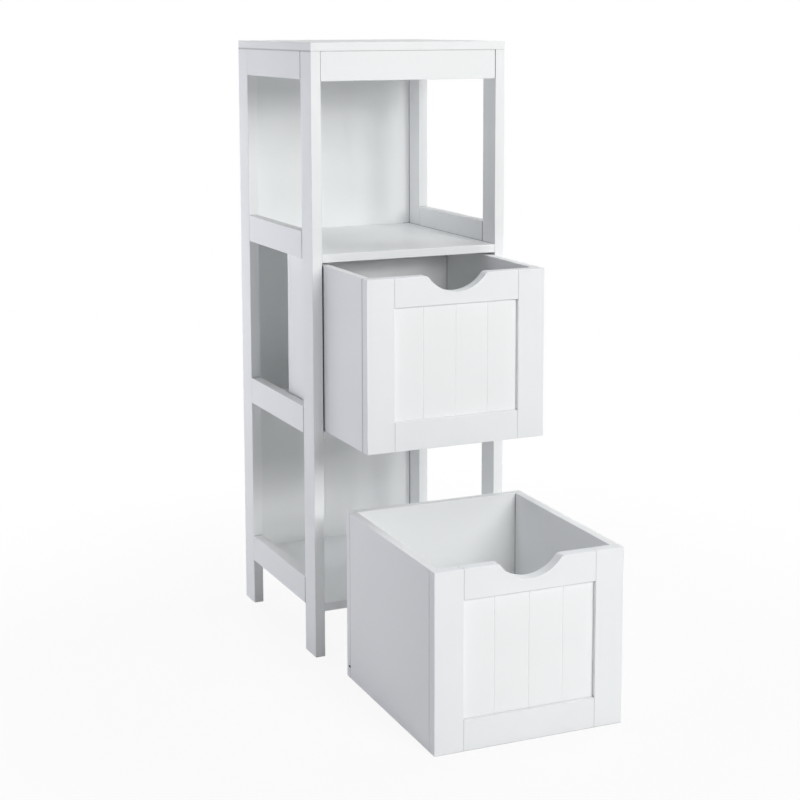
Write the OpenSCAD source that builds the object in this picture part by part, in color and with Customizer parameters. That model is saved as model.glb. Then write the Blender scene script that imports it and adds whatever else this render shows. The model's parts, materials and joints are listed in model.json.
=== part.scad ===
// Bathroom storage tower: an open four-legged frame with three shelves and two box drawers.
// The upper drawer is pulled half out of its bay. The lower one has been lifted out and stands
// on the floor in front. Millimetres: +X is right, -Y is the front, +Z is up.
// The origin lies on the floor, at the middle of the box round the whole group.

/* [Tower] */
// Width of the tower
tower_w = 305; // [254:1:380]
// Depth of the tower, front to back
tower_d = 305; // [254:1:380]
// Height of the tower
tower_h = 890; // [740:1:1100]
// Thickness of the top board
top_t = 12; // [12:1:18]
// Thickness of the legs, rails and apron
frame_t = 15; // [14:1:20]
// Depth of a leg, front to back
leg_d = 40; // [34:1:50]
// Height of a side rail
rail_h = 40; // [36:1:50]
// Hairline gap between each end of a side rail and its leg
rail_gap = 0.4; // [0.1:0.1:0.5]
// Clear height under the bottom side rails
foot_h = 70; // [40:1:110]
// Thickness of a shelf
shelf_t = 12; // [12:1:18]
// How far a shelf's underside lies below the underside of its side rails
shelf_drop = 2; // [0:0.5:6]
// Height of the apron under the top board
apron_h = 42; // [36:1:50]
// Setback of the apron behind the front of the legs
apron_setback = 1; // [0:0.5:4]
// Gap between each end of the apron and its leg
apron_gap = 0.4; // [0.2:0.1:1]
// Thickness of the back panel
back_t = 3; // [2.5:0.5:5]
// Gap between each edge of the back panel and its leg
back_gap = 1; // [0.5:0.5:2]
// Depth of the rebate that takes the back panel's top edge
back_rebate = 6; // [4:0.5:6]
// Radius of the softened edges
edge_r = 0.8; // [0.4:0.1:1.2]

/* [Drawer box] */
// Gap between a drawer and the leg on each side
side_gap = 2; // [1:0.5:4]
// Running clearance under a drawer
run_gap = 0.3; // [0.2:0.1:0.5]
// Head room between a drawer and the shelf above it
head_gap = 3.7; // [2:0.1:8]
// Gap between a closed drawer and the back panel
rear_gap = 2; // [1:0.5:6]
// Thickness of a drawer's sides and back
box_t = 12; // [10:1:15]
// Hairline gap between a drawer's sides and its front frame
front_gap = 0.4; // [0.1:0.1:0.5]
// Thickness of a drawer's bottom
bottom_t = 3; // [3:0.5:5]
// Height of the bottom's groove above the lower edge
bottom_up = 15; // [10:1:20]
// Depth of the grooves that hold the bottom
bottom_groove = 5; // [4:0.5:6]

/* [Drawer front] */
// Thickness of the front frame
front_t = 16; // [15:1:20]
// Width of the stiles
stile_w = 41; // [34:1:50]
// Height of the top and bottom rails of the front frame
front_rail_h = 41; // [36:1:50]
// Setback of the centre panel's face
panel_recess = 6; // [4:0.5:7]
// Thickness of the centre panel
panel_t = 6; // [5:0.5:7]
// How far the centre panel reaches into its grooves
panel_tongue = 4; // [3:0.5:6]
// Boards that the grooves mark on the centre panel
panel_boards = 4; // [2:1:6]
// Width of a V-groove
vee_w = 1.8; // [1.5:0.1:4]
// Depth of a V-groove
vee_d = 0.8; // [0.5:0.1:2]
// Width of the finger scoop at the top edge, before its corners are rounded
scoop_w = 90; // [80:1:120]
// Depth of the finger scoop
scoop_d = 24; // [18:1:26]
// Radius of the rounded corners of the scoop
scoop_corner_r = 8; // [4:1:10]

/* [How the drawers stand] */
// How far the upper drawer is pulled out
upper_out = 155; // [0:1:200]
// Distance from the tower's front to the front of the drawer on the floor
lower_out = 385; // [340:1:500]
// Sideways shift of the drawer on the floor
lower_x = -8; // [-10:1:10]
// Turn of the drawer on the floor, in degrees
lower_turn = -1.2; // [-1.5:0.1:1.5]

/* [Fixings] */
// Diameter of the dowels that join rails and legs
rail_dowel_d = 8; // [6:1:8]
// Length of those dowels
rail_dowel_l = 30; // [24:1:32]
// Distance between the two dowels of a joint
rail_dowel_gap = 20; // [16:1:22]
// Diameter of the dowels behind a drawer front
box_dowel_d = 6; // [5:0.5:6]
// Length of those dowels
box_dowel_l = 22; // [18:1:24]
// Diameter of a cam disc
cam_d = 12; // [10:1:14]
// Height of a cam disc
cam_h = 9.4; // [9.2:0.1:9.6]
// Distance from a joint to the centre of its cam disc
cam_reach = 24; // [22:1:26]
// Distance from the face that a cam disc is let into to its bolt's axis
cam_axis = 6; // [5.8:0.1:6]
// Distance from a leg's outer edge to the bolts of the shelves
bolt_inset = 14; // [12:1:16]
// Length of the screws in a drawer's back
box_screw_l = 34; // [28:1:40]
// Length of the small screws in the back panel
panel_screw_l = 14; // [11:1:16]
// Radial clearance round dowels, bolts, screws and discs
bore_gap = 0.1; // [0.05:0.05:0.2]
// Free depth at the end of a blind hole
hole_end = 0.5; // [0.2:0.1:1]

/* [Hidden] */
$fn = 64;

cut = 1;                       // how far a cutter runs past a face
white_paint = [0.93, 0.94, 0.94];
panel_white = [0.88, 0.89, 0.89];
beech = [0.80, 0.66, 0.46];
zinc = [0.70, 0.71, 0.73];

// tower: x and y from its own middle, z from the floor
leg_h = tower_h - top_t;
inner_x = tower_w / 2 - frame_t;
front_y = -tower_d / 2;
rear_y = tower_d / 2;
rail_l = tower_d - 2 * leg_d - 2 * rail_gap;
levels = 4;                    // rails on each side, counted from the bottom
rail_pitch = (leg_h - rail_h - foot_h) / (levels - 1);
shelf_d = tower_d - back_t;
panel_screw_pitch = inner_x - 2 * cam_reach - cam_d / 2;
head_h = 1;                    // small screw: head height, head radius and shank radius
head_r = 3;
screw_r = 1.4;

// drawer: x from its middle, y back from its front face, z up from its lower edge
bay_h = rail_pitch - shelf_t;
drawer_w = 2 * (inner_x - side_gap);
drawer_h = bay_h - run_gap - head_gap;
drawer_d = shelf_d - rear_gap;
box_l = drawer_d - front_t - box_t;  // between the front frame and the back
side_l = box_l - front_gap;
opening_w = drawer_w - 2 * stile_w;
opening_h = drawer_h - 2 * front_rail_h;
fit = 0.1;                     // clearance on each side of a tongue in its groove
panel_w = opening_w + 2 * (panel_tongue - fit);
panel_h = opening_h + 2 * (panel_tongue - fit);
board_w = panel_w / panel_boards;
bottom_hold = bottom_groove - 0.5;
box_screw_rows = 3;            // dowels and screws up each corner of a drawer
box_fix_low = 40;              // height of the lowest
box_fix_x = drawer_w / 2 - box_t / 2;
box_fix_pitch = (drawer_h - 2 * box_fix_low) / (box_screw_rows - 1);
box_screw_r = 1.7;             // drawer screw: shank radius, head radius and head height
box_screw_head_r = 3.6;
box_screw_head_h = 3;
box_dowel_front = 9;           // length of a drawer dowel that is in the front frame

// the scoop is an arc through its two ends, and its corners roll over into the top edge
scoop_r = (pow(scoop_w / 2, 2) + pow(scoop_d, 2)) / (2 * scoop_d);
scoop_z = scoop_r - scoop_d;
corner_x = sqrt(pow(scoop_r + scoop_corner_r, 2) - pow(scoop_z + scoop_corner_r, 2));
corner_low = scoop_z - (scoop_z + scoop_corner_r) * scoop_r / (scoop_r + scoop_corner_r);

// how far the group reaches to the front and to the back of the tower's middle
lower_reach = tower_d / 2 + lower_out + drawer_w / 2 * sin(abs(lower_turn));
back_reach = tower_d / 2 + head_h;
tower_y = (lower_reach - back_reach) / 2;

// cam bolt: its screwed end, collar, neck and head; the cross in a cam disc
bolt_thread_r = 2.5;
bolt_thread_l = 9;
bolt_collar_r = 3.2;
bolt_collar_l = 4;
bolt_neck_r = 2;
bolt_head_r = 3;
bolt_head_l = 3;
cross_w = 1.2;
cross_depth = 1;
top_cam_inset = 45;            // from a rail's end to its bolt into the top board

function rail_z(level) = foot_h + level * rail_pitch;
function shelf_z(level) = rail_z(level) - shelf_drop;

// ---- shared forms ----

// rectangle with rounded corners, from the origin to [w, h]
module soft_rect(w, h) {
    translate([edge_r, 0]) square([w - 2 * edge_r, h]);
    translate([0, edge_r]) square([w, h - 2 * edge_r]);
    for (x = [edge_r, w - edge_r], y = [edge_r, h - edge_r])
        translate([x, y]) circle(edge_r);
}

// board with all twelve edges softened, from the origin to size
module soft_box(size) {
    intersection() {
        linear_extrude(size.z) soft_rect(size.x, size.y);
        translate([0, size.y, 0]) rotate([90, 0, 0])
            linear_extrude(size.y) soft_rect(size.x, size.z);
        rotate([90, 0, 90]) linear_extrude(size.x) soft_rect(size.y, size.z);
    }
}

// turn a part whose axis is +Z so that it points along X or Y, forwards or backwards
module along_x(direction) {
    rotate([0, direction * 90, 0]) children();
}

module along_y(direction) {
    rotate([-direction * 90, 0, 0]) children();
}

// a form drawn for the right side, mirrored for the left
module on_side(side) {
    mirror([side < 0 ? 1 : 0, 0, 0]) children();
}

module in_tower() {
    translate([0, tower_y, 0]) children();
}

module in_middle_bay() {
    translate([0, tower_y + front_y - upper_out, shelf_z(1) + shelf_t + run_gap]) children();
}

module on_floor() {
    translate([lower_x, tower_y + front_y - lower_out, 0])
        rotate([0, 0, lower_turn]) children();
}

// ---- fixings ----

// where the two dowels of every rail joint sit, pointing from the rail into the leg
module at_rail_dowels() {
    for (side = [-1, 1], end = [-1, 1], level = [0 : levels - 1], row = [-1, 1])
        translate([side * (inner_x + frame_t / 2), end * (rail_l + rail_gap) / 2,
                   rail_z(level) + rail_h / 2 + row * rail_dowel_gap / 2])
            along_y(end) children();
}

// a dowel, or with a gap round it and free depth at its ends, its hole
module rail_dowel(gap = 0, end = 0) {
    translate([0, 0, -rail_dowel_l / 2 - end])
        cylinder(d = rail_dowel_d + 2 * gap, h = rail_dowel_l + 2 * end);
}

// where the cam bolts leave the piece that they are screwed into: +Z runs towards the cam disc,
// and +X towards the face that the disc is let into
module at_shelf_cams() {
    for (side = [-1, 1], end = [-1, 1], level = [0 : levels - 2])
        translate([side * inner_x, end * (tower_d / 2 - bolt_inset), shelf_z(level) + cam_axis])
            on_side(side) along_x(-1) rotate([0, 0, 180]) children();
}

module at_apron_cams() {
    for (side = [-1, 1])
        translate([side * inner_x, front_y + apron_setback + frame_t - cam_axis,
                   leg_h - apron_h / 2])
            on_side(side) along_x(-1) rotate([0, 0, 90]) children();
}

module at_top_cams() {
    for (side = [-1, 1], end = [-1, 1])
        translate([side * (inner_x + cam_axis), end * (rail_l / 2 - top_cam_inset), leg_h])
            on_side(side) rotate([180, 0, 180]) children();
}

module at_cams() {
    at_shelf_cams() children();
    at_apron_cams() children();
    at_top_cams() children();
}

// bolt with a screwed end, a collar, a neck and a head that its cam disc grips
module cam_bolt() {
    rotate_extrude()
        polygon([[0, -bolt_thread_l], [bolt_thread_r, -bolt_thread_l], [bolt_thread_r, 0],
                 [bolt_collar_r, 0], [bolt_collar_r, bolt_collar_l],
                 [bolt_neck_r, bolt_collar_l + 1], [bolt_neck_r, cam_reach - bolt_head_l],
                 [bolt_head_r, cam_reach - 1], [bolt_head_r, cam_reach + bolt_head_l / 2],
                 [0, cam_reach + bolt_head_l / 2]]);
}

module cam_bolt_hole() {
    translate([0, 0, -bolt_thread_l - hole_end])
        cylinder(r = bolt_thread_r + bore_gap, h = bolt_thread_l + hole_end + fit);
    cylinder(r = bolt_collar_r + bore_gap, h = cam_reach);
}

// disc with the hollow that takes the bolt's head, and a cross for a screwdriver
module cam_disc() {
    difference() {
        translate([cam_axis, 0, cam_reach]) along_x(-1) cylinder(d = cam_d, h = cam_h);
        translate([0, 0, cam_reach - cam_d])
            cylinder(r = bolt_head_r + 2 * bore_gap, h = cam_d + bolt_head_l / 2 + hole_end);
        for (turn = [0, 90])
            translate([cam_axis, 0, cam_reach]) rotate([turn, 0, 0])
                cube([2 * cross_depth, cross_w, cam_d - 3], center = true);
    }
}

module cam_pocket() {
    translate([cam_axis + cut, 0, cam_reach]) along_x(-1)
        cylinder(d = cam_d + 2 * bore_gap, h = cam_h + cut + bore_gap);
}

module cam_cuts() {
    at_cams() {
        cam_bolt_hole();
        cam_pocket();
    }
}

// flat-headed screw, or with a gap and free depth, its hole: the head's top lies in the XY
// plane and the screw points down -Z
module box_screw(gap = 0, end = 0) {
    rotate_extrude()
        polygon([[0, end], [box_screw_head_r + gap, end], [box_screw_head_r + gap, 0],
                 [box_screw_r + gap, -box_screw_head_h - gap],
                 [box_screw_r + gap, -box_screw_l - end], [0, -box_screw_l - end]]);
}

// small screw with a low head, whose underside lies in the XY plane
module panel_screw() {
    rotate_extrude() polygon([[0, -panel_screw_l], [screw_r, -panel_screw_l], [screw_r, 0],
                              [head_r, 0], [head_r - head_h / 2, head_h], [0, head_h]]);
}

module panel_screw_hole() {
    translate([0, 0, -panel_screw_l - hole_end])
        cylinder(r = screw_r + bore_gap, h = panel_screw_l + hole_end + cut);
}

// small screws run in a row into each shelf, and into the top board's rebate
module at_panel_screws() {
    heights = [leg_h + back_rebate / 2, for (level = [0 : levels - 2]) shelf_z(level) + shelf_t / 2];
    for (z = heights, column = [-1 : 1])
        translate([column * panel_screw_pitch, rear_y, z]) along_y(1) children();
}

// ---- tower ----

module top_board() {
    color(white_paint) difference() {
        translate([-tower_w / 2, front_y, leg_h]) soft_box([tower_w, tower_d, top_t]);
        translate([-inner_x, rear_y - back_t - fit, leg_h - cut])
            cube([2 * inner_x, back_t + fit + cut, back_rebate + fit + cut]);
        cam_cuts();
        at_panel_screws() panel_screw_hole();
    }
}

// one leg: side is -1 left or 1 right, end is -1 front or 1 rear
module leg(side, end) {
    left_x = side < 0 ? -tower_w / 2 : inner_x;
    near_y = end < 0 ? front_y : rear_y - leg_d;
    color(white_paint) difference() {
        translate([left_x, near_y, 0]) soft_box([frame_t, leg_d, leg_h]);
        at_rail_dowels() rail_dowel(bore_gap, hole_end);
        cam_cuts();
    }
}

// one rail between the front and rear leg of a side, counted from the bottom
module side_rail(side, level) {
    left_x = side < 0 ? -tower_w / 2 : inner_x;
    color(white_paint) difference() {
        translate([left_x, -rail_l / 2, rail_z(level)]) soft_box([frame_t, rail_l, rail_h]);
        at_rail_dowels() rail_dowel(bore_gap, hole_end);
        cam_cuts();
    }
}

module front_apron() {
    color(white_paint) difference() {
        translate([-inner_x + apron_gap, front_y + apron_setback, leg_h - apron_h])
            soft_box([2 * (inner_x - apron_gap), frame_t, apron_h]);
        cam_cuts();
    }
}

module shelf(level) {
    color(white_paint) difference() {
        translate([-inner_x, front_y, shelf_z(level)]) soft_box([2 * inner_x, shelf_d, shelf_t]);
        cam_cuts();
        at_panel_screws() panel_screw_hole();
    }
}

module back_panel() {
    color(panel_white) difference() {
        translate([-inner_x + back_gap, rear_y - back_t, shelf_z(0)])
            cube([2 * (inner_x - back_gap), back_t, leg_h + back_rebate - shelf_z(0)]);
        at_panel_screws() panel_screw_hole();
    }
}

module rail_dowels() {
    color(beech) at_rail_dowels() rail_dowel();
}

module cam_bolts() {
    color(zinc) at_cams() cam_bolt();
}

module cam_discs() {
    color(zinc) at_cams() cam_disc();
}

module back_panel_screws() {
    color(zinc) at_panel_screws() panel_screw();
}

// ---- drawer ----

// where the dowels behind the front sit; +Z runs back into the side
module at_box_dowels() {
    for (side = [-1, 1], row = [0 : box_screw_rows - 1])
        translate([side * box_fix_x, front_t, box_fix_low + row * box_fix_pitch])
            along_y(1) children();
}

// where the screws through the back sit; +Z runs back out of the drawer
module at_box_screws() {
    for (side = [-1, 1], row = [0 : box_screw_rows - 1])
        translate([side * box_fix_x, drawer_d, box_fix_low + row * box_fix_pitch])
            along_y(1) children();
}

module box_dowel(gap = 0, end = 0) {
    translate([0, 0, -box_dowel_front - end])
        cylinder(d = box_dowel_d + 2 * gap, h = box_dowel_l + 2 * end);
}

// groove all round that holds the drawer's bottom
module bottom_slot() {
    translate([-drawer_w / 2 + box_t - bottom_groove, front_t - bottom_groove, bottom_up])
        cube([drawer_w - 2 * box_t + 2 * bottom_groove, box_l + 2 * bottom_groove,
              bottom_t + 2 * fit]);
}

// groove all round the opening of the front frame, for the centre panel and the rails' tongues
module panel_slot() {
    translate([-opening_w / 2 - panel_tongue, panel_recess, front_rail_h - panel_tongue])
        cube([opening_w + 2 * panel_tongue, panel_t + 2 * fit, opening_h + 2 * panel_tongue]);
}

// tongue on each end of a rail, which fills the stile's groove past the centre panel
module rail_tongues(z) {
    translate([-opening_w / 2 - panel_tongue + fit, panel_recess + fit, z])
        cube([opening_w + 2 * (panel_tongue - fit), panel_t, front_rail_h]);
}

module scoop() {
    translate([0, front_t + cut, drawer_h]) rotate([90, 0, 0])
        linear_extrude(front_t + 2 * cut) {
            translate([0, scoop_z]) circle(scoop_r, $fn = 180);
            difference() {
                translate([-corner_x, corner_low]) square([2 * corner_x, cut - corner_low]);
                for (side = [-1, 1])
                    translate([side * corner_x, -scoop_corner_r]) circle(scoop_corner_r);
            }
        }
}

module drawer_stile(side) {
    color(white_paint) difference() {
        translate([side < 0 ? -drawer_w / 2 : opening_w / 2, 0, 0])
            soft_box([stile_w, front_t, drawer_h]);
        translate([-opening_w / 2 - panel_tongue, panel_recess, -cut])
            cube([opening_w + 2 * panel_tongue, panel_t + 2 * fit, drawer_h + 2 * cut]);
        bottom_slot();
        at_box_dowels() box_dowel(bore_gap, hole_end);
    }
}

module drawer_top_rail() {
    color(white_paint) difference() {
        union() {
            translate([-opening_w / 2, 0, drawer_h - front_rail_h])
                soft_box([opening_w, front_t, front_rail_h]);
            rail_tongues(drawer_h - front_rail_h);
        }
        panel_slot();
        scoop();
    }
}

module drawer_bottom_rail() {
    color(white_paint) difference() {
        union() {
            translate([-opening_w / 2, 0, 0]) soft_box([opening_w, front_t, front_rail_h]);
            rail_tongues(0);
        }
        panel_slot();
        bottom_slot();
    }
}

module drawer_front_panel() {
    color(white_paint) difference() {
        translate([-panel_w / 2, panel_recess + fit, front_rail_h - panel_tongue + fit])
            cube([panel_w, panel_t, panel_h]);
        for (line = [1 : panel_boards - 1])
            translate([line * board_w - panel_w / 2, panel_recess + fit,
                       front_rail_h - panel_tongue - cut])
                linear_extrude(panel_h + 2 * cut)
                    polygon([[-vee_w / 2, 0], [-vee_w / 2, -cut], [vee_w / 2, -cut],
                             [vee_w / 2, 0], [0, vee_d]]);
    }
}

module drawer_side(side) {
    color(white_paint) difference() {
        translate([side < 0 ? -drawer_w / 2 : drawer_w / 2 - box_t, front_t + front_gap, 0])
            soft_box([box_t, side_l, drawer_h]);
        bottom_slot();
        at_box_dowels() box_dowel(bore_gap, hole_end);
        at_box_screws() box_screw(bore_gap, hole_end);
    }
}

// the bottom's groove runs out through both ends of the back
module drawer_back() {
    color(white_paint) difference() {
        translate([-drawer_w / 2, drawer_d - box_t, 0]) soft_box([drawer_w, box_t, drawer_h]);
        translate([-drawer_w / 2 - cut, drawer_d - box_t - cut, bottom_up])
            cube([drawer_w + 2 * cut, bottom_groove + cut, bottom_t + 2 * fit]);
        at_box_screws() box_screw(bore_gap, hole_end);
    }
}

module drawer_bottom() {
    color(panel_white)
        translate([-drawer_w / 2 + box_t - bottom_hold, front_t - bottom_hold, bottom_up + fit])
            cube([drawer_w - 2 * box_t + 2 * bottom_hold, box_l + 2 * bottom_hold, bottom_t]);
}

module drawer_dowels() {
    color(beech) at_box_dowels() box_dowel();
}

module drawer_screws() {
    color(zinc) at_box_screws() box_screw();
}

// ---- nodes ----

in_tower() top_board();
in_tower() leg(-1, -1);  // front_left_leg
in_tower() leg(1, -1);  // front_right_leg
in_tower() leg(-1, 1);  // rear_left_leg
in_tower() leg(1, 1);  // rear_right_leg
in_tower() side_rail(-1, 3);  // left_top_rail
in_tower() side_rail(-1, 2);  // left_upper_rail
in_tower() side_rail(-1, 1);  // left_lower_rail
in_tower() side_rail(-1, 0);  // left_bottom_rail
in_tower() side_rail(1, 3);  // right_top_rail
in_tower() side_rail(1, 2);  // right_upper_rail
in_tower() side_rail(1, 1);  // right_lower_rail
in_tower() side_rail(1, 0);  // right_bottom_rail
in_tower() front_apron();
in_tower() back_panel();
in_tower() shelf(2);  // upper_shelf
in_tower() shelf(1);  // middle_shelf
in_tower() shelf(0);  // bottom_shelf
in_tower() rail_dowels();
in_tower() cam_bolts();
in_tower() cam_discs();
in_tower() back_panel_screws();

in_middle_bay() drawer_stile(-1);  // upper_drawer_left_stile
in_middle_bay() drawer_stile(1);  // upper_drawer_right_stile
in_middle_bay() drawer_top_rail();  // upper_drawer_top_rail
in_middle_bay() drawer_bottom_rail();  // upper_drawer_bottom_rail
in_middle_bay() drawer_front_panel();  // upper_drawer_front_panel
in_middle_bay() drawer_side(-1);  // upper_drawer_left_side
in_middle_bay() drawer_side(1);  // upper_drawer_right_side
in_middle_bay() drawer_back();  // upper_drawer_back
in_middle_bay() drawer_bottom();  // upper_drawer_bottom
in_middle_bay() drawer_dowels();  // upper_drawer_dowels
in_middle_bay() drawer_screws();  // upper_drawer_screws

on_floor() drawer_stile(-1);  // lower_drawer_left_stile
on_floor() drawer_stile(1);  // lower_drawer_right_stile
on_floor() drawer_top_rail();  // lower_drawer_top_rail
on_floor() drawer_bottom_rail();  // lower_drawer_bottom_rail
on_floor() drawer_front_panel();  // lower_drawer_front_panel
on_floor() drawer_side(-1);  // lower_drawer_left_side
on_floor() drawer_side(1);  // lower_drawer_right_side
on_floor() drawer_back();  // lower_drawer_back
on_floor() drawer_bottom();  // lower_drawer_bottom
on_floor() drawer_dowels();  // lower_drawer_dowels
on_floor() drawer_screws();  // lower_drawer_screws
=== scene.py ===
"""White bathroom storage tower with two box drawers, in a plain studio.

Metres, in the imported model's own frame: +X right, -Y front, +Z up.
"""

import json
import math

import bpy
from mathutils import Matrix, Vector


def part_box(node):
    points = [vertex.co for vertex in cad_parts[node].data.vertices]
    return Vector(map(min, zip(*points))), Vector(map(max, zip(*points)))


# ---- camera: the photograph's place and angle ----

CAMERA_PLACE = Vector((-1.0355, -2.2121, 0.9201))
CAMERA_YAW = math.radians(24.491)      # from +Y towards +X
CAMERA_PITCH = math.radians(-7.896)
CAMERA_ROLL = math.radians(0.110)
SENSOR = 36.0                          # millimetres
LENS = 77.762                          # millimetres
SHIFT_X = -0.00578
SHIFT_Y = -0.17484
CLIP_START = 0.01
CLIP_END = 50.0

# ---- paints ----

WHITE = (0.93, 0.94, 0.94)
DRAWER_FRONT_WHITE = (0.905, 0.915, 0.927)
HARDBOARD_WHITE = (0.90, 0.91, 0.91)

BOARD_ROUGHNESS = 0.55
DRAWER_FRONT_ROUGHNESS = 0.53
SHELF_ROUGHNESS = 0.38
HARDBOARD_ROUGHNESS = 0.6
ROUGHNESS_SPREAD = 0.05                # how far the mottle takes it to either side
PAINT_GLOSS = 0.25                     # specular level
SHELF_GLOSS = 0.4

# noises: the scale, in features per metre, and the detail
CLOUDS = (9.0, 3.0)
MOTTLE = (60.0, 4.0)
PEEL = (700.0, 2.0)

CLOUD_TONE = 0.985
CLOUD_STOPS = (0.3, 0.7)
PEEL_DEPTH = 0.00006
PEEL_STRENGTH = 0.35

# painted shade in the seams and inner corners, from ambient occlusion: reach in metres, the
# openness where it is darkest and where it ends, and how dark the paint gets there
SEAM_REACH = 0.003
SEAM_DARK = 0.45
SEAM_CLEAR = 0.70
SEAM_SAMPLES = 16
CREASE_SHADE_TONE = 0.35
DEEP_CREASE_SHADE_TONE = 0.12                  # beside the back panel
BACK_CREASE_SHADE_BEYOND = 0.125              # the back panel's seams lie further than this from X 0

# painted shade where a board's end meets its neighbour: from the joint, how far it stays dark and
# where it ends, in metres, and how dark it is in each place
JOINT_SHADE_FULL = 0.0010
JOINT_SHADE_FADE = 0.0017
RAIL_END_SHADE_TONE = 0.45
UNDER_TOP_SHADE_TONE = 0.75
UPPER_SIDE_SHADE_TONE = 0.65
LOWER_SIDE_SHADE_TONE = 0.45

# painted shade on the walls of the groove in a drawer's back: how dark it is, nearly black, and
# the gap round the bottom
GROOVE_SHADE_TONE = 0.03
GROOVE_EDGE = 0.0002

# a face whose normal has a larger share than this along an axis faces that way
FACING = 0.5

# ---- beech and zinc ----

BEECH_DARK = (0.62, 0.44, 0.27)
BEECH_LIGHT = (0.78, 0.62, 0.42)
BEECH_STOPS = (0.35, 0.7)
BEECH_ROUGHNESS = 0.62
GRAIN = (90.0, 6.0)
GRAIN_ROUGHNESS = 0.6
GRAIN_STRETCH = (1, 0.12, 1)           # long along Y
GRAIN_DEPTH = 0.0001
GRAIN_STRENGTH = 1.0

ZINC_DARK = (0.56, 0.57, 0.60)
ZINC_LIGHT = (0.72, 0.73, 0.74)
ZINC_STOPS = (0.3, 0.7)
ZINC_MOTTLE = (350.0, 5.0)
ZINC_SMOOTH = 0.28                     # its lowest and highest roughness
ZINC_ROUGH = 0.46

# ---- lamps and floor ----

# every lamp is a square that shines at AIM
AIM = Vector((0.0, 0.0, 0.45))
FILL_SIZE = 0.7
KEY_SIZE = 0.45
KEY_DISTANCE = 3.2                     # from AIM

# place, power in watts, and colour
FILL_LAMPS = {
    "back_left_low": ((-0.7, 1.7, 0.4), 4.2, (1.00, 1.00, 1.00)),
    "back_left": ((-0.7, 1.7, 0.9), 1.9, (1.00, 1.00, 0.99)),
    "back_mid": ((0.0, 1.7, 0.9), 8.2, (1.00, 0.99, 0.98)),
    "left_front": ((-1.4, 0.0, 0.9), 3.9, (0.88, 0.88, 1.00)),
    "left_low": ((-1.4, 1.2, 0.3), 6.0, (0.91, 0.93, 1.00)),
    "right_low": ((1.4, 0.4, 0.3), 3.4, (0.94, 1.00, 0.96)),
    "right_rear": ((1.4, 0.4, 0.9), 5.3, (0.97, 0.99, 1.00)),
    "top": ((0.0, 0.0, 2.4), 4.6, (0.99, 1.00, 1.00)),
    "top_front": ((0.0, -1.0, 2.2), 3.5, (0.98, 1.00, 1.00)),
    "top_right": ((1.0, 0.0, 2.2), 6.3, (0.98, 0.99, 1.00)),
}

# degrees to the right of -Y and degrees up, as seen from AIM; power in watts, and colour
KEY_LAMPS = {
    "key_left": (-5, 15, 5.2, (0.99, 1.00, 1.00)),
    "key_mid": (5, 20, 15.9, (0.99, 1.00, 1.00)),
    "key_mid_high": (5, 30, 9.5, (0.99, 1.00, 1.00)),
    "key_right_low": (15, 15, 16.7, (1.00, 1.00, 1.00)),
    "key_right": (15, 25, 9.5, (0.99, 1.00, 1.00)),
    "key_far_right": (25, 15, 5.7, (0.99, 1.00, 1.00)),
}

PLAIN_WHITE = (1.0, 1.0, 1.0, 1.0)
FLOOR_Z = -0.0004
FLOOR_HALF = 6.0
FLOOR_COLOUR = 0.8
FLOOR_GLOW = 0.9                       # share of plain white in the floor near the object
FLOOR_FADE_START = 0.45                # it fades to plain white between these distances from the
FLOOR_FADE_END = 1.1                   # middle of the floor

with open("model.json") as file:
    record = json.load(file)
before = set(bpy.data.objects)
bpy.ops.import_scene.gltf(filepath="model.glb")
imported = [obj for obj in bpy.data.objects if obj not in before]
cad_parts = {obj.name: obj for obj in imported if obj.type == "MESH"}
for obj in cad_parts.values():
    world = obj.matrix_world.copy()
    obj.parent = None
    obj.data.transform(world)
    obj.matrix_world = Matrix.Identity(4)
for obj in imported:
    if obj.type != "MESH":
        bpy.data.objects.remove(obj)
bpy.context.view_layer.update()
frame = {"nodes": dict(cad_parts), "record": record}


# ---- camera ----

def make_camera():
    """Camera at the photograph's viewing angle."""
    ahead = Vector((math.sin(CAMERA_YAW) * math.cos(CAMERA_PITCH),
                    math.cos(CAMERA_YAW) * math.cos(CAMERA_PITCH),
                    math.sin(CAMERA_PITCH)))
    right = Vector((math.cos(CAMERA_YAW), -math.sin(CAMERA_YAW), 0.0))
    up = right.cross(ahead)
    right, up = (right * math.cos(CAMERA_ROLL) - up * math.sin(CAMERA_ROLL),
                 up * math.cos(CAMERA_ROLL) + right * math.sin(CAMERA_ROLL))
    data = bpy.data.cameras.new("camera")
    data.sensor_width = SENSOR
    data.lens = LENS
    data.shift_x = SHIFT_X
    data.shift_y = SHIFT_Y
    data.clip_start = CLIP_START
    data.clip_end = CLIP_END
    camera = bpy.data.objects.new("camera", data)
    camera.matrix_world = Matrix.Translation(CAMERA_PLACE) @ Matrix(
        (right, up, -ahead)).transposed().to_4x4()
    bpy.context.scene.collection.objects.link(camera)
    bpy.context.scene.camera = camera


# ---- nodes ----

def math_node(tree, operation, *values):
    """A Math node on values that are each a number or a socket."""
    node = tree.nodes.new("ShaderNodeMath")
    node.operation = operation
    for socket, value in zip(node.inputs, values):
        if isinstance(value, (int, float)):
            socket.default_value = value
        else:
            tree.links.new(value, socket)
    return node.outputs["Value"]


def faded(tree, value, start, end, first, last, interpolation="LINEAR"):
    """first up to start, last from end on, and a fade from one to the other between them."""
    node = tree.nodes.new("ShaderNodeMapRange")
    node.interpolation_type = interpolation
    node.inputs["From Min"].default_value = start
    node.inputs["From Max"].default_value = end
    node.inputs["To Min"].default_value = first
    node.inputs["To Max"].default_value = last
    tree.links.new(value, node.inputs["Value"])
    return node.outputs["Result"]


def coordinate(tree, kind, axis):
    """One axis of Object, a point's place in the object's own metres, or of the Normal."""
    coords = tree.nodes.new("ShaderNodeTexCoord")
    split = tree.nodes.new("ShaderNodeSeparateXYZ")
    tree.links.new(coords.outputs[kind], split.inputs["Vector"])
    return split.outputs[axis]


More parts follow.
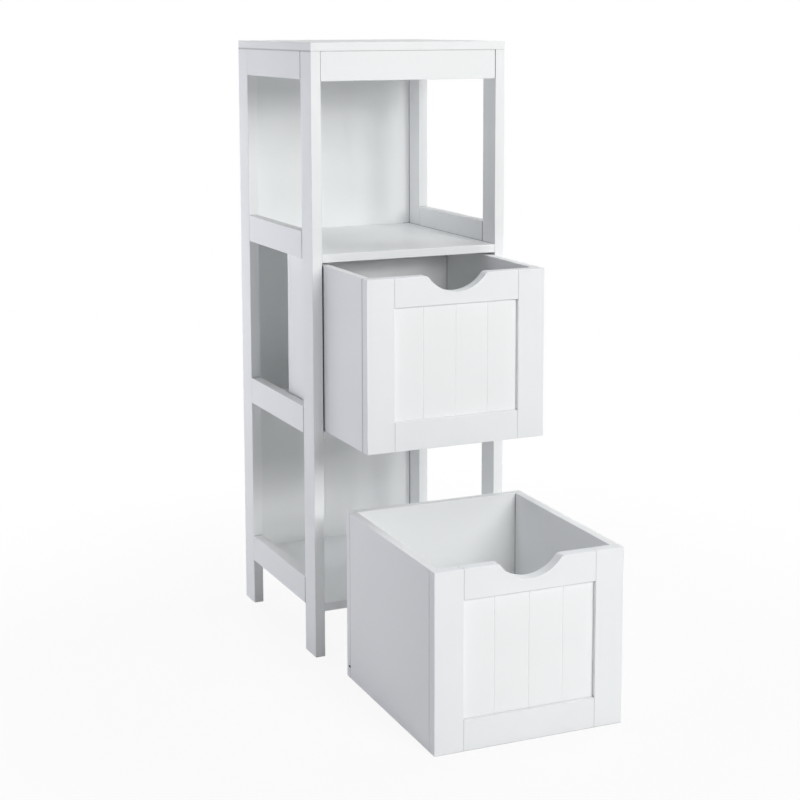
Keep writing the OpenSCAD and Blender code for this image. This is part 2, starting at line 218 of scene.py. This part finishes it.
def away_from(tree, axis, place):
    """How far a point is from a place on an axis, to either side."""
    return math_node(tree, "ABSOLUTE",
                     math_node(tree, "SUBTRACT", coordinate(tree, "Object", axis), place))


def not_sideways(tree):
    """0 on faces that look to the left or right, and 1 on the others."""
    sideways = math_node(tree, "ABSOLUTE", coordinate(tree, "Normal", "X"))
    return math_node(tree, "LESS_THAN", sideways, FACING)


def noise(tree, scale, detail, roughness=0.5, stretch=(1, 1, 1)):
    coords = tree.nodes.new("ShaderNodeTexCoord")
    mapping = tree.nodes.new("ShaderNodeMapping")
    mapping.inputs["Scale"].default_value = stretch
    texture = tree.nodes.new("ShaderNodeTexNoise")
    texture.inputs["Scale"].default_value = scale
    texture.inputs["Detail"].default_value = detail
    texture.inputs["Roughness"].default_value = roughness
    tree.links.new(coords.outputs["Object"], mapping.inputs["Vector"])
    tree.links.new(mapping.outputs["Vector"], texture.inputs["Vector"])
    return texture.outputs["Fac"]


def ramp(tree, fac, stops, colours):
    node = tree.nodes.new("ShaderNodeValToRGB")
    for element, stop, colour in zip(node.color_ramp.elements, stops, colours):
        element.position = stop
        element.color = (*colour, 1.0)
    tree.links.new(fac, node.inputs["Fac"])
    return node.outputs["Color"]


def shaded(tree, colour, shade):
    """The colour times the shade."""
    node = tree.nodes.new("ShaderNodeVectorMath")
    node.operation = "SCALE"
    tree.links.new(colour, node.inputs[0])
    tree.links.new(shade, node.inputs["Scale"])
    return node.outputs["Vector"]


def roughen(tree, shader, fac, smooth, rough):
    tree.links.new(faded(tree, fac, 0.0, 1.0, smooth, rough), shader.inputs["Roughness"])


def raise_surface(tree, shader, height, depth, strength):
    bump = tree.nodes.new("ShaderNodeBump")
    bump.inputs["Distance"].default_value = depth
    bump.inputs["Strength"].default_value = strength
    tree.links.new(height, bump.inputs["Height"])
    tree.links.new(bump.outputs["Normal"], shader.inputs["Normal"])


# ---- shades in the paint ----

def painted_crease_shade(tree, tone, beyond):
    """Painted shade in the hairline gaps and inner corners between boards, darkest where ambient
    occlusion is deepest.

    Where beyond isn't None, only further than that from the middle, to the left and right.
    """
    near = tree.nodes.new("ShaderNodeAmbientOcclusion")
    near.samples = SEAM_SAMPLES
    near.inputs["Distance"].default_value = SEAM_REACH
    shade = faded(tree, near.outputs["AO"], SEAM_DARK, SEAM_CLEAR, tone, 1.0)
    if beyond is None:
        return shade
    side = math_node(tree, "ABSOLUTE", coordinate(tree, "Object", "X"))
    clear = faded(tree, side, beyond, beyond + SEAM_REACH, 1.0, 0.0)
    return math_node(tree, "MAXIMUM", shade, clear)


def painted_joint_shade(tree, axis, place, tone):
    """Painted shade at the end of a board, where it meets its neighbour."""
    return faded(tree, away_from(tree, axis, place), JOINT_SHADE_FULL, JOINT_SHADE_FADE, tone, 1.0)


def painted_side_joint_shade(tree, axis, place, tone):
    """Painted shade at a joint, on the faces to the left and right only."""
    return math_node(tree, "MAXIMUM", painted_joint_shade(tree, axis, place, tone), not_sideways(tree))


def painted_groove_shade(tree, low, high):
    """Painted shade, nearly black, on the walls of a groove that runs left to right, from Z low to
    Z high.
    """
    edge = (high - low) / 2 + GROOVE_EDGE
    near = faded(tree, away_from(tree, "Z", (low + high) / 2), edge, edge + GROOVE_EDGE, 1.0, 0.0)
    # the board's ends and its rear face get no painted shade
    not_rear = math_node(tree, "LESS_THAN", coordinate(tree, "Normal", "Y"), FACING)
    shaded_face = math_node(tree, "MULTIPLY", not_sideways(tree), not_rear)
    wall = math_node(tree, "MULTIPLY", near, shaded_face)
    return faded(tree, wall, 0.0, 1.0, 1.0, GROOVE_SHADE_TONE)


# ---- materials ----

def new_material(name):
    material = bpy.data.materials.new(name)
    material.use_nodes = True
    tree = material.node_tree
    tree.nodes.clear()
    out = tree.nodes.new("ShaderNodeOutputMaterial")
    shader = tree.nodes.new("ShaderNodeBsdfPrincipled")
    tree.links.new(shader.outputs["BSDF"], out.inputs["Surface"])
    return material, tree, shader


def satin_paint(name, colour=WHITE, roughness=BOARD_ROUGHNESS, gloss=PAINT_GLOSS,
                seams=CREASE_SHADE_TONE, seams_beyond=None, joints=(), side_joints=(), groove=None):
    """Sprayed satin paint on fine board: faint clouding, a mottled sheen and orange peel.

    seams is the tone of the painted shade in seams and inner corners, or None, and seams_beyond
    keeps it to the strips further than that from the middle, to the left and right. joints and
    side_joints are the (axis, place, tone) of the painted shade at a board's ends, all round or on
    its left and right faces. groove is the lowest and highest Z of a board whose groove gets a
    nearly black painted shade.
    """
    material, tree, shader = new_material(name)
    clouded = tuple(c * CLOUD_TONE for c in colour)
    tint = ramp(tree, noise(tree, *CLOUDS), CLOUD_STOPS, (clouded, colour))
    # painted shade in the seams, at the joints and in a groove darkens the clouded colour
    if seams:
        tint = shaded(tree, tint, painted_crease_shade(tree, seams, seams_beyond))
    for joint in joints:
        tint = shaded(tree, tint, painted_joint_shade(tree, *joint))
    for joint in side_joints:
        tint = shaded(tree, tint, painted_side_joint_shade(tree, *joint))
    if groove:
        tint = shaded(tree, tint, painted_groove_shade(tree, *groove))
    tree.links.new(tint, shader.inputs["Base Color"])
    roughen(tree, shader, noise(tree, *MOTTLE),
            roughness - ROUGHNESS_SPREAD, roughness + ROUGHNESS_SPREAD)
    raise_surface(tree, shader, noise(tree, *PEEL), PEEL_DEPTH, PEEL_STRENGTH)
    shader.inputs["Specular IOR Level"].default_value = gloss
    return material


def beech(name):
    """Bare beech, with its grain along Y."""
    material, tree, shader = new_material(name)
    grain = noise(tree, *GRAIN, GRAIN_ROUGHNESS, GRAIN_STRETCH)
    tint = ramp(tree, grain, BEECH_STOPS, (BEECH_DARK, BEECH_LIGHT))
    tree.links.new(tint, shader.inputs["Base Color"])
    shader.inputs["Roughness"].default_value = BEECH_ROUGHNESS
    raise_surface(tree, shader, grain, GRAIN_DEPTH, GRAIN_STRENGTH)
    return material


def zinc(name):
    """Zinc-plated steel with a fine mottle."""
    material, tree, shader = new_material(name)
    mottle = noise(tree, *ZINC_MOTTLE)
    tint = ramp(tree, mottle, ZINC_STOPS, (ZINC_DARK, ZINC_LIGHT))
    tree.links.new(tint, shader.inputs["Base Color"])
    shader.inputs["Metallic"].default_value = 1.0
    roughen(tree, shader, mottle, ZINC_SMOOTH, ZINC_ROUGH)
    return material


def ends(node):
    """The Y of a board's front end and of its rear end."""
    low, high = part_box(node)
    return low[1], high[1]


def thickness(node):
    """The Z of a lying board's underside and of its top."""
    low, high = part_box(node)
    return low[2], high[2]


def make_finishes():
    """The materials by name: the record's slots in use, and the paints of single kinds of node."""
    rail_front, _ = ends("left_upper_rail")
    upper_front, _ = ends("upper_drawer_left_side")
    _, lower_rear = ends("lower_drawer_left_side")
    # painted shade along the top board's underside, on the left and right faces only
    top_board_shade = ("Z", thickness("top_board")[0], UNDER_TOP_SHADE_TONE)
    return {
        "tower_paint": satin_paint("tower_paint", side_joints=[top_board_shade]),
        "side_rail": satin_paint("side_rail_paint", joints=[("Y", rail_front, RAIL_END_SHADE_TONE)],
                                 side_joints=[top_board_shade]),
        "shelf": satin_paint("shelf_paint", roughness=SHELF_ROUGHNESS, gloss=SHELF_GLOSS,
                             seams=None),
        "drawer_front_paint": satin_paint("drawer_front_paint", DRAWER_FRONT_WHITE,
                                          DRAWER_FRONT_ROUGHNESS),
        "front_panel": satin_paint("grooved_panel_paint", roughness=DRAWER_FRONT_ROUGHNESS,
                                   seams=None),
        "upper_side": satin_paint("upper_side_paint", joints=[("Y", upper_front, UPPER_SIDE_SHADE_TONE)]),
        "lower_side": satin_paint("lower_side_paint", joints=[("Y", lower_rear, LOWER_SIDE_SHADE_TONE)]),
        # the drawers' backs get a nearly black painted shade on their groove walls
        "upper_back": satin_paint("upper_back_paint", groove=thickness("upper_drawer_bottom")),
        "lower_back": satin_paint("lower_back_paint", groove=thickness("lower_drawer_bottom")),
        # the hardboard gets a darker painted shade in its seams, only near its left and right ends
        "painted_hardboard": satin_paint("painted_hardboard", HARDBOARD_WHITE,
                                         HARDBOARD_ROUGHNESS, seams=DEEP_CREASE_SHADE_TONE,
                                         seams_beyond=BACK_CREASE_SHADE_BEYOND),
        "dowel_beech": beech("dowel_beech"),
        "plated_steel": zinc("plated_steel"),
    }


def finish_nodes():
    """Gives each node its slot's material, or the paint that is its own."""
    finishes = make_finishes()
    finish_of = {s["node"]: s["material_slot"] for s in frame["record"]["subparts"]}
    for shelf in ("upper", "middle", "bottom"):
        finish_of[f"{shelf}_shelf"] = "shelf"
    for side in ("left", "right"):
        for rail in ("top", "upper", "lower", "bottom"):
            finish_of[f"{side}_{rail}_rail"] = "side_rail"
    for drawer in ("upper", "lower"):
        finish_of[f"{drawer}_drawer_left_side"] = f"{drawer}_side"
        finish_of[f"{drawer}_drawer_right_side"] = f"{drawer}_side"
        finish_of[f"{drawer}_drawer_front_panel"] = "front_panel"
        finish_of[f"{drawer}_drawer_back"] = f"{drawer}_back"
    for name, node in frame["nodes"].items():
        node.data.materials.clear()
        node.data.materials.append(finishes[finish_of[name]])


# ---- studio ----

def make_lamp(name, place, size, power, colour):
    data = bpy.data.lights.new(name, "AREA")
    data.shape = "SQUARE"
    data.size = size
    data.energy = power
    data.color = colour
    lamp = bpy.data.objects.new(name, data)
    lamp.location = place
    lamp.rotation_euler = (lamp.location - AIM).to_track_quat("Z", "Y").to_euler()
    lamp.visible_camera = False
    bpy.context.scene.collection.objects.link(lamp)


def key_place(right, up):
    """The place at the key lamps' distance, so many degrees to the right of -Y and up."""
    right, up = math.radians(right), math.radians(up)
    return AIM + KEY_DISTANCE * Vector((math.sin(right) * math.cos(up),
                                        -math.cos(right) * math.cos(up),
                                        math.sin(up)))


def make_lamps():
    """The fill lamps round and over the object, and the key lamps on an arc in front of it."""
    for name, (place, power, colour) in FILL_LAMPS.items():
        make_lamp(name, place, FILL_SIZE, power, colour)
    for name, (right, up, power, colour) in KEY_LAMPS.items():
        make_lamp(name, key_place(right, up), KEY_SIZE, power, colour)


def seen_directly(tree):
    """1 for what the camera, a reflection or glass sees, and 0 for light that falls on things."""
    path = tree.nodes.new("ShaderNodeLightPath")
    seen = math_node(tree, "MAXIMUM", path.outputs["Is Camera Ray"],
                     path.outputs["Is Glossy Ray"])
    return math_node(tree, "MAXIMUM", seen, path.outputs["Is Transmission Ray"])


def make_world():
    """A plain white backdrop that throws no light on the object."""
    world = bpy.data.worlds.new("studio")
    bpy.context.scene.world = world
    world.use_nodes = True
    tree = world.node_tree
    tree.nodes.clear()
    out = tree.nodes.new("ShaderNodeOutputWorld")
    backdrop = tree.nodes.new("ShaderNodeBackground")
    backdrop.inputs["Color"].default_value = PLAIN_WHITE
    tree.links.new(seen_directly(tree), backdrop.inputs["Strength"])
    tree.links.new(backdrop.outputs["Background"], out.inputs["Surface"])


def floor_material():
    """Lit by the lamps near the object, and plain white as the backdrop further out."""
    material = bpy.data.materials.new("floor")
    material.use_nodes = True
    tree = material.node_tree
    tree.nodes.clear()
    out = tree.nodes.new("ShaderNodeOutputMaterial")
    lit = tree.nodes.new("ShaderNodeBsdfDiffuse")
    lit.inputs["Color"].default_value = (FLOOR_COLOUR, FLOOR_COLOUR, FLOOR_COLOUR, 1.0)
    glow = tree.nodes.new("ShaderNodeEmission")
    glow.inputs["Color"].default_value = PLAIN_WHITE
    glow.inputs["Strength"].default_value = 1.0
    place = tree.nodes.new("ShaderNodeNewGeometry")
    distance = tree.nodes.new("ShaderNodeVectorMath")
    distance.operation = "LENGTH"
    tree.links.new(place.outputs["Position"], distance.inputs[0])
    white = faded(tree, distance.outputs["Value"], FLOOR_FADE_START, FLOOR_FADE_END,
                  FLOOR_GLOW, 1.0, "SMOOTHSTEP")
    mix = tree.nodes.new("ShaderNodeMixShader")
    tree.links.new(math_node(tree, "MULTIPLY", white, seen_directly(tree)), mix.inputs["Fac"])
    tree.links.new(lit.outputs["BSDF"], mix.inputs[1])
    tree.links.new(glow.outputs["Emission"], mix.inputs[2])
    tree.links.new(mix.outputs["Shader"], out.inputs["Surface"])
    return material


def make_floor():
    """Pale floor that keeps the shadows round the object and fades out to the white backdrop."""
    mesh = bpy.data.meshes.new("floor")
    mesh.from_pydata([(-FLOOR_HALF, -FLOOR_HALF, FLOOR_Z), (FLOOR_HALF, -FLOOR_HALF, FLOOR_Z),
                      (FLOOR_HALF, FLOOR_HALF, FLOOR_Z), (-FLOOR_HALF, FLOOR_HALF, FLOOR_Z)],
                     [], [(0, 1, 2, 3)])
    floor = bpy.data.objects.new("floor", mesh)
    bpy.context.scene.collection.objects.link(floor)
    mesh.materials.append(floor_material())


make_camera()
finish_nodes()
make_lamps()
make_world()
make_floor()
bpy.context.scene.view_settings.view_transform = "Standard"
